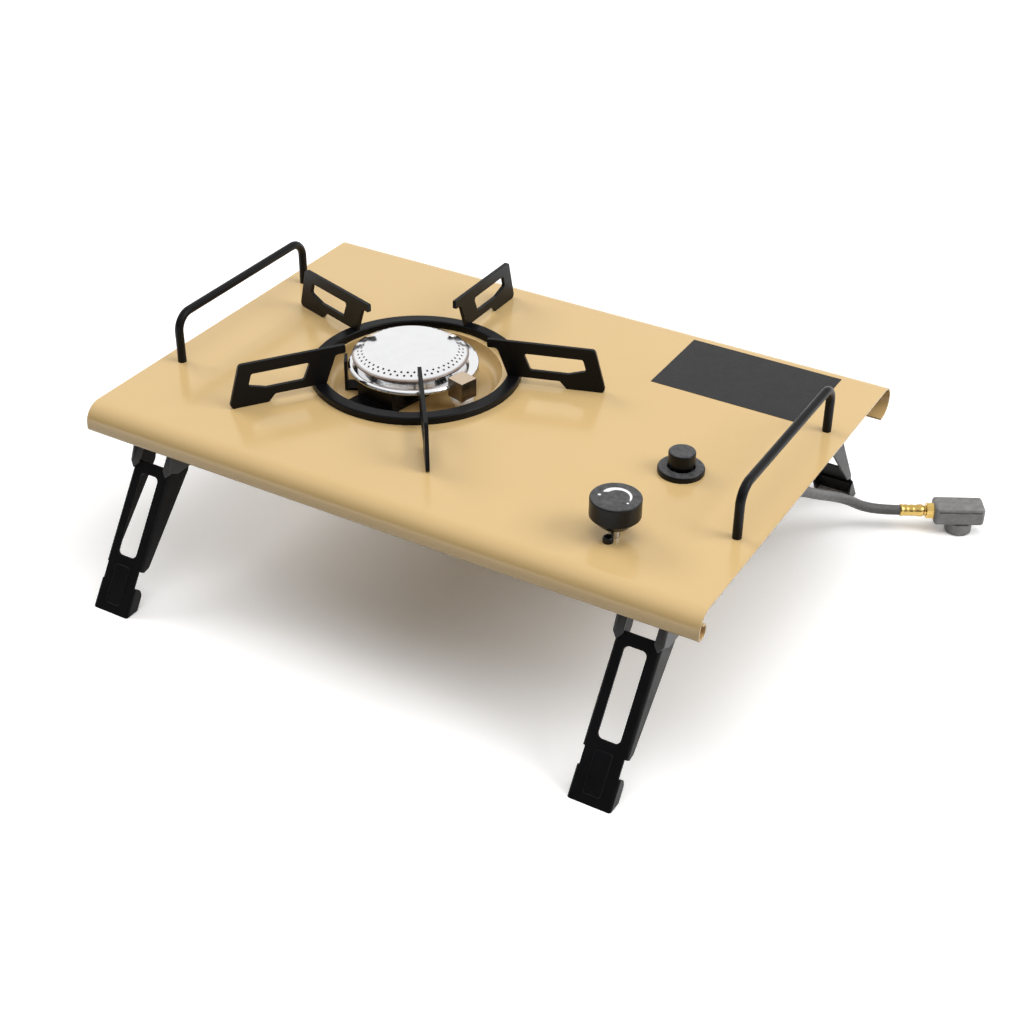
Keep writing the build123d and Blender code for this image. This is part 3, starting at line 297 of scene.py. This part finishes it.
# Dark film of the blank panel
label_film = Finish("label_film", (0.024, 0.024, 0.025), 0.4, specular=0.16)
label_film.tones(500.0, 3.0, (0.021, 0.021, 0.022), (0.028, 0.028, 0.029))
label_film.gloss(90.0, 4.0, 0.36, 0.46)
label_film.bump(label_film.noise(2600.0, 2.0), 0.00002, 0.25)

# Die-cast regulator, and the hose's rubber with its fine cloth weave
cast_grey = Finish("cast_grey", (0.22, 0.215, 0.21), 0.5, metallic=0.25)
cast_grey.tones(220.0, 5.0, (0.17, 0.165, 0.162), (0.25, 0.245, 0.24))
cast_grey.gloss(300.0, 4.0, 0.4, 0.58)
cast_grey.soft_edges(0.0006)
cast_grey.bump(cast_grey.noise(1500.0, 3.0), 0.00006, 0.4)

hose_rubber = Finish("hose_rubber", (0.2, 0.197, 0.19), 0.55)
weave = hose_rubber.noise(700.0, 3.0, 0.55)
cloud = hose_rubber.math("MULTIPLY", hose_rubber.noise(150.0, 3.0), 0.5)
mottle = hose_rubber.math("ADD", hose_rubber.math("MULTIPLY", weave, 0.5), cloud)
worn = hose_rubber.spread(mottle, 0.0, 1.0)
hose_rubber.colour(hose_rubber.mix(worn, (0.075, 0.074, 0.071), (0.135, 0.132, 0.128)))
hose_rubber.gloss(120.0, 3.0, 0.46, 0.62)
hose_rubber.bump(weave, 0.00012, 0.5)

ceramic = Finish("ceramic", (0.82, 0.8, 0.75), 0.25)
ceramic.tones(180.0, 4.0, (0.76, 0.73, 0.68), (0.86, 0.84, 0.8))
ceramic.gloss(260.0, 3.0, 0.2, 0.34)

wire_skin = Finish("wire_skin", (0.45, 0.07, 0.04), 0.4)
wire_skin.tones(300.0, 4.0, (0.36, 0.05, 0.03), (0.52, 0.1, 0.06))
wire_skin.gloss(400.0, 3.0, 0.34, 0.5)
wire_skin.bump(wire_skin.noise(2500.0, 2.0), 0.00003, 0.3)

mark_ink = Finish("mark_ink", (0.86, 0.86, 0.86), 0.4)
mark_ink.tones(900.0, 3.0, (0.8, 0.8, 0.8), (0.9, 0.9, 0.9))
mark_ink.gloss(700.0, 3.0, 0.34, 0.46)

FINISH_BY_SLOT = {
    "plate_paint": tan_paint,
    "black_paint": black_paint,
    "black_plastic": black_plastic,
    "black_screw": screw_black,
    "label_grey": label_film,
    "polished_steel": polished,
    "plain_steel": plain_steel,
    "cast_alloy": cast_alloy,
    "regulator_grey": cast_grey,
    "brass": brass,
    "hose_rubber": hose_rubber,
    "ceramic": ceramic,
    "dark_plastic": dark_plastic,
    "wire_insulation": wire_skin,
}


def dress(obj, finish):
    """Gives an object one material in all its slots."""
    if not obj.material_slots:
        obj.data.materials.append(finish.material)
    for place in obj.material_slots:
        place.material = finish.material


slot_of = {}
for subpart in frame["record"]["subparts"]:
    slot_of[subpart["node"]] = subpart["material_slot"]
for node_name, node_object in nodes.items():
    finish = FINISH_BY_SLOT[slot_of[node_name]]
    if node_name.startswith("leg_bracket"):
        finish = bracket_sheen_paint
    if node_name == "electrode_cover":
        finish = tinted_steel_painted_light
    dress(node_object, finish)


def piece(name, data, body, finish):
    """Links a new piece, dresses it and lets it ride on its body."""
    obj = bpy.data.objects.new(name, data)
    bpy.context.scene.collection.objects.link(obj)
    dress(obj, finish)
    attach(obj, body)
    return obj


CORD_ROUNDNESS = 6
CORD_STEPS = 12


def cord_line(name, route, diameter):
    """A smooth round cord through the control points of its route."""
    data = bpy.data.curves.new(name, "CURVE")
    data.dimensions = "3D"
    data.bevel_depth = diameter / 2
    data.bevel_resolution = CORD_ROUNDNESS
    data.use_fill_caps = True
    line = data.splines.new("NURBS")
    line.points.add(len(route) - 1)
    for point, place in zip(line.points, route):
        point.co = (*place, 1.0)
    line.order_u = 3
    line.use_endpoint_u = True
    line.resolution_u = CORD_STEPS
    return data


HOSE_ROUTE = [
    (0.1530, -0.0740, 0.1110),
    (0.1530, -0.0550, 0.1110),
    (0.1605, -0.0340, 0.1110),
    (0.1730, -0.0145, 0.1105),
    (0.1880, 0.0030, 0.1080),
    (0.2000, 0.0260, 0.1000),
    (0.2045, 0.0570, 0.0840),
    (0.2045, 0.0880, 0.0640),
    (0.2040, 0.1160, 0.0470),
    (0.2080, 0.1435, 0.0300),
    (0.2206, 0.1602, 0.0160),
    (0.2398, 0.1708, 0.0160),
]
HOSE_DIAMETER = 0.0074
hose_curve = cord_line("gas_hose_line", HOSE_ROUTE, HOSE_DIAMETER)
hose = piece("gas_hose_line", hose_curve, "stove", hose_rubber)
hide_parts("gas_hose")

WIRE_ROUTE = [
    (-0.01781, -0.01290, 0.1065),
    (-0.01781, -0.01290, 0.0995),
    (-0.01330, -0.01315, 0.0925),
    (-0.00292, -0.01373, 0.0900),
    (0.01598, -0.01478, 0.0905),
    (0.04393, -0.01633, 0.0915),
    (0.07387, -0.01800, 0.0900),
    (0.09964, -0.01943, 0.0845),
    (0.11863, -0.02048, 0.0775),
    (0.13361, -0.02132, 0.0750),
    (0.14398, -0.02189, 0.0785),
    (0.14950, -0.02220, 0.0860),
    (0.14950, -0.02220, 0.0930),
]
WIRE_DIAMETER = 0.0024
wire_curve = cord_line("ignition_lead", WIRE_ROUTE, WIRE_DIAMETER)
wire = piece("ignition_lead", wire_curve, "stove", wire_skin)
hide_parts("ignition_wire")


def mesh_from(name, fill):
    """A mesh that a function builds in bmesh, with smooth faces."""
    work = bmesh.new()
    fill(work)
    bmesh.ops.recalc_face_normals(work, faces=work.faces)
    data = bpy.data.meshes.new(name)
    work.to_mesh(data)
    work.free()
    for face in data.polygons:
        face.use_smooth = True
    return data


def lathe(work, profile, place, segments=48):
    """Turns a profile of (radius, along) about the local Z of a place."""
    rings = []
    for radius, along in profile:
        ring = []
        for number in range(segments):
            angle = 2 * math.pi * number / segments
            spot = Vector((radius * math.cos(angle), radius * math.sin(angle), along))
            ring.append(work.verts.new(place @ spot))
        rings.append(ring)
    for first, second in zip(rings, rings[1:]):
        for number in range(segments):
            after = (number + 1) % segments
            work.faces.new((first[number], first[after], second[after], second[number]))
    work.faces.new(rings[0])
    work.faces.new(rings[-1])


# Crimped brass sleeve at the hose's far end
heading = (Vector(HOSE_ROUTE[-1]) - Vector(HOSE_ROUTE[-2])).normalized()
hose_end = Matrix.Translation(HOSE_ROUTE[-1]) @ heading.to_track_quat("Z", "Y").to_matrix().to_4x4()
SLEEVE_PROFILE = [
    (0.0039, 0.0), (0.0045, 0.0003), (0.0045, 0.0014), (0.0042, 0.0018), (0.0041, 0.0034),
    (0.0043, 0.0040), (0.0043, 0.0050), (0.0041, 0.0056), (0.0041, 0.0075), (0.0043, 0.0082),
    (0.0043, 0.0091), (0.0041, 0.0098), (0.0041, 0.0117), (0.0043, 0.0124), (0.0045, 0.0137),
    (0.0045, 0.0162), (0.0042, 0.0167), (0.0036, 0.0170), (0.0036, 0.0182), (0.0040, 0.0185),
    (0.0040, 0.0188),
]
sleeve_mesh = mesh_from("hose_sleeve", lambda work: lathe(work, SLEEVE_PROFILE, hose_end))
sleeve = piece("hose_sleeve", sleeve_mesh, "stove", brass)
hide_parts("hose_ferrule")

# Printed crescent and dots on the knob's top: the flame's size
MARK_RADIUS = 0.0096
MARK_RAISE = 0.00005
MARK_START = 174.0
MARK_END = -4.0
MARK_STEPS = 48
MARK_WIDE = 0.0036
MARK_TAPER = 0.0026
MARK_INSET = 0.0004
DOT_RADIUS_AT = 0.0099
DOT_SIDES = 20
DOTS = ((199.0, 0.00095), (-19.0, 0.00075))


def knob_mark(work):
    """A crescent that tapers from its blunt start to its end, and a dot beyond each."""
    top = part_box("control_knob")[1][2] + MARK_RAISE
    edges = []
    for number in range(MARK_STEPS + 1):
        share = number / MARK_STEPS
        angle = math.radians(MARK_START + share * (MARK_END - MARK_START))
        blunt = min(1.0, 0.25 + 9.0 * share, 0.3 + 12.0 * (1.0 - share))
        width = (MARK_WIDE - MARK_TAPER * share) * blunt
        outer = MARK_RADIUS - MARK_INSET * (1 - min(1.0, 9.0 * share))
        pair = []
        for radius in (outer, outer - width):
            around = Vector((math.cos(angle), math.sin(angle)))
            pair.append(work.verts.new((*(KNOB.xy + radius * around), top)))
        edges.append(pair)
    for first, second in zip(edges, edges[1:]):
        work.faces.new((first[0], first[1], second[1], second[0]))
    for angle_degrees, size in DOTS:
        angle = math.radians(angle_degrees)
        across = Vector((math.cos(angle), math.sin(angle)))
        middle = Vector((*(KNOB.xy + DOT_RADIUS_AT * across), top))
        dot = []
        for number in range(DOT_SIDES):
            around = 2 * math.pi * number / DOT_SIDES
            dot.append(work.verts.new(middle + size * Vector((math.cos(around), math.sin(around), 0))))
        work.faces.new(dot)


piece("knob_mark", mesh_from("knob_mark", knob_mark), "knob", mark_ink)

# Studio: a pale floor, a bright sky behind and above, a darker room in front
FLOOR_HALF = 9.0
FLOOR_BOUNCE = 0.34
FLOOR_SEEN = 1.25
FLOOR_GLOW_START = 0.3
FLOOR_GLOW_FULL = 1.1
FLOOR_FAR_GLOW = 0.9


def make_floor():
    """A floor that fades to white away from the part, and gives back less light than it shows."""
    def grid(work):
        bmesh.ops.create_grid(work, x_segments=1, y_segments=1, size=FLOOR_HALF)

    data = mesh_from("floor", grid)
    obj = bpy.data.objects.new("floor", data)
    bpy.context.scene.collection.objects.link(obj)
    material = bpy.data.materials.new("floor")
    material.use_nodes = True
    tree = material.node_tree
    tree.nodes.clear()
    output = tree.nodes.new("ShaderNodeOutputMaterial")
    diffuse = tree.nodes.new("ShaderNodeBsdfDiffuse")
    path = tree.nodes.new("ShaderNodeLightPath")
    seen = tree.nodes.new("ShaderNodeMath")
    seen.operation = "MAXIMUM"
    tree.links.new(path.outputs["Is Camera Ray"], seen.inputs[0])
    tree.links.new(path.outputs["Is Glossy Ray"], seen.inputs[1])
    tone = tree.nodes.new("ShaderNodeMapRange")
    tone.inputs["To Min"].default_value = FLOOR_BOUNCE
    tone.inputs["To Max"].default_value = FLOOR_SEEN
    tree.links.new(seen.outputs[0], tone.inputs["Value"])
    tree.links.new(tone.outputs["Result"], diffuse.inputs["Color"])
    place = tree.nodes.new("ShaderNodeTexCoord")
    reach = tree.nodes.new("ShaderNodeVectorMath")
    reach.operation = "LENGTH"
    tree.links.new(place.outputs["Object"], reach.inputs[0])
    far = tree.nodes.new("ShaderNodeMapRange")
    far.interpolation_type = "SMOOTHSTEP"
    far.inputs["From Min"].default_value = FLOOR_GLOW_START
    far.inputs["From Max"].default_value = FLOOR_GLOW_FULL
    far.inputs["To Max"].default_value = FLOOR_FAR_GLOW
    tree.links.new(reach.outputs["Value"], far.inputs["Value"])
    strength = tree.nodes.new("ShaderNodeMath")
    strength.operation = "MULTIPLY"
    tree.links.new(far.outputs["Result"], strength.inputs[0])
    tree.links.new(seen.outputs[0], strength.inputs[1])
    glow = tree.nodes.new("ShaderNodeEmission")
    tree.links.new(strength.outputs[0], glow.inputs["Strength"])
    both = tree.nodes.new("ShaderNodeAddShader")
    tree.links.new(diffuse.outputs[0], both.inputs[0])
    tree.links.new(glow.outputs[0], both.inputs[1])
    tree.links.new(both.outputs[0], output.inputs["Surface"])
    data.materials.append(material)


SKY_DIFFUSE = 0.42
SKY_FRONT = 0.04
SKY_BACK = 1.2
SKY_TOWARD = (0.1, 0.6, 0.79)
SKY_FADE = 0.35


def make_world():
    """An even light on dull faces, and a glow from the back and above in the shiny ones."""
    world = bpy.data.worlds.new("studio")
    bpy.context.scene.world = world
    world.use_nodes = True
    tree = world.node_tree
    tree.nodes.clear()
    output = tree.nodes.new("ShaderNodeOutputWorld")
    sky = tree.nodes.new("ShaderNodeBackground")
    place = tree.nodes.new("ShaderNodeTexCoord")
    toward = tree.nodes.new("ShaderNodeVectorMath")
    toward.operation = "DOT_PRODUCT"
    toward.inputs[1].default_value = SKY_TOWARD
    tree.links.new(place.outputs["Generated"], toward.inputs[0])
    glow = tree.nodes.new("ShaderNodeMapRange")
    glow.inputs["From Min"].default_value = -SKY_FADE
    glow.inputs["From Max"].default_value = SKY_FADE
    glow.inputs["To Min"].default_value = SKY_FRONT
    glow.inputs["To Max"].default_value = SKY_BACK
    glow.interpolation_type = "SMOOTHSTEP"
    tree.links.new(toward.outputs["Value"], glow.inputs["Value"])
    path = tree.nodes.new("ShaderNodeLightPath")
    level = tree.nodes.new("ShaderNodeMapRange")
    level.inputs["To Min"].default_value = SKY_DIFFUSE
    tree.links.new(glow.outputs["Result"], level.inputs["To Max"])
    tree.links.new(path.outputs["Is Glossy Ray"], level.inputs["Value"])
    seen = tree.nodes.new("ShaderNodeMath")
    seen.operation = "MAXIMUM"
    tree.links.new(level.outputs["Result"], seen.inputs[0])
    clear = tree.nodes.new("ShaderNodeMath")
    clear.operation = "MAXIMUM"
    tree.links.new(path.outputs["Is Camera Ray"], clear.inputs[0])
    tree.links.new(path.outputs["Is Transmission Ray"], clear.inputs[1])
    tree.links.new(clear.outputs[0], seen.inputs[1])
    tree.links.new(seen.outputs[0], sky.inputs["Strength"])
    tree.links.new(sky.outputs[0], output.inputs["Surface"])


KEY_AIM = (0.0, 0.0, 0.1)
SIDE_AIM = (0.0, 0.0, 0.05)
SIDE_WIDTH = 1.0
SIDE_HEIGHT = 0.8


def softbox(name, place, target, width, height, watts, mirrored):
    """A soft lamp. One that isn't mirrored leaves the polished cap's ports to be seen."""
    data = bpy.data.lights.new(name, "AREA")
    data.shape = "RECTANGLE"
    data.size = width
    data.size_y = height
    data.energy = watts
    obj = bpy.data.objects.new(name, data)
    bpy.context.scene.collection.objects.link(obj)
    obj.location = place
    obj.rotation_mode = "QUATERNION"
    obj.rotation_quaternion = (Vector(target) - Vector(place)).to_track_quat("-Z", "Y")
    obj.visible_glossy = mirrored


make_floor()
make_world()
softbox("key_softbox", (0.3, -0.2, 1.9), KEY_AIM, 1.6, 1.3, 16.0, mirrored=False)
softbox("right_softbox", (1.5, 0.3, 1.3), SIDE_AIM, SIDE_WIDTH, SIDE_HEIGHT, 16.0, mirrored=True)
softbox("left_softbox", (-1.5, 0.2, 1.3), SIDE_AIM, SIDE_WIDTH, SIDE_HEIGHT, 13.0, mirrored=False)
bpy.context.scene.view_settings.view_transform = "Standard"
